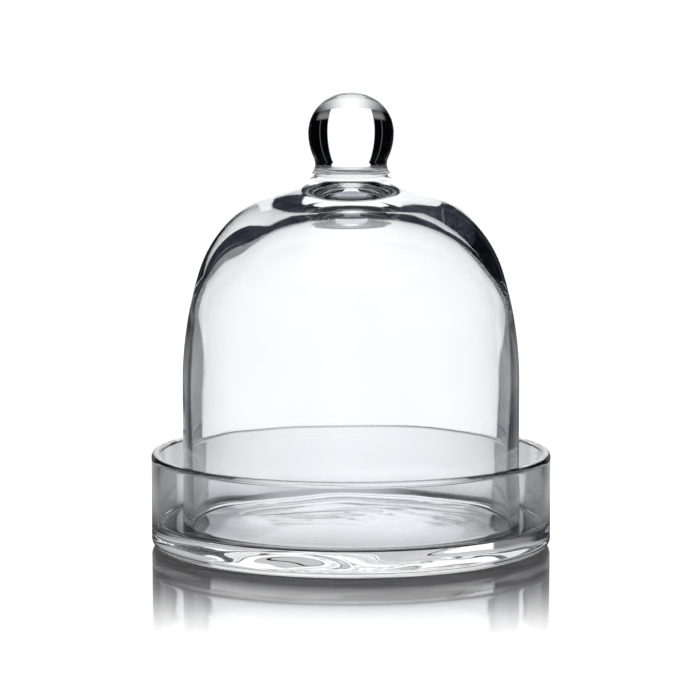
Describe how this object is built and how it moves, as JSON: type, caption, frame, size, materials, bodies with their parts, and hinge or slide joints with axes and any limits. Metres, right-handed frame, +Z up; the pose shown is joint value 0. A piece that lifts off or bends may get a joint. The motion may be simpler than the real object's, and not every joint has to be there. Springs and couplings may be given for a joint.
{
  "type": "glass bell jar with tray",
  "caption": "Clear blown-glass display dome with a solid ball knob, standing loose in a shallow round glass tray with a thick base; the dome lifts straight off.",
  "frame": {"origin": "centre of the tray's underside, in the plane it stands on", "axes": "+Z up along the axis of the tray, dome and knob, from the foot towards the knob"},
  "size_m": [0.14, 0.14, 0.1584],
  "materials": {
    "tray_glass": "clear colourless glass, fire-polished, ground flat on the rim, with faint swirl and flow lines in the thick base",
    "dome_glass": "clear colourless blown glass, fire-polished, uneven in thickness, most of all in the heavy crown"
  },
  "bodies": {
    "tray": {"tray": "tray_glass"},
    "dome": {"dome_shell": "dome_glass", "knob": "dome_glass"}
  },
  "joints": [
    {"name": "dome_lift", "type": "slide", "parent": "tray", "child": "dome", "axis": [0, 0, 1], "range_m": [0, 0.12]}
  ]
}
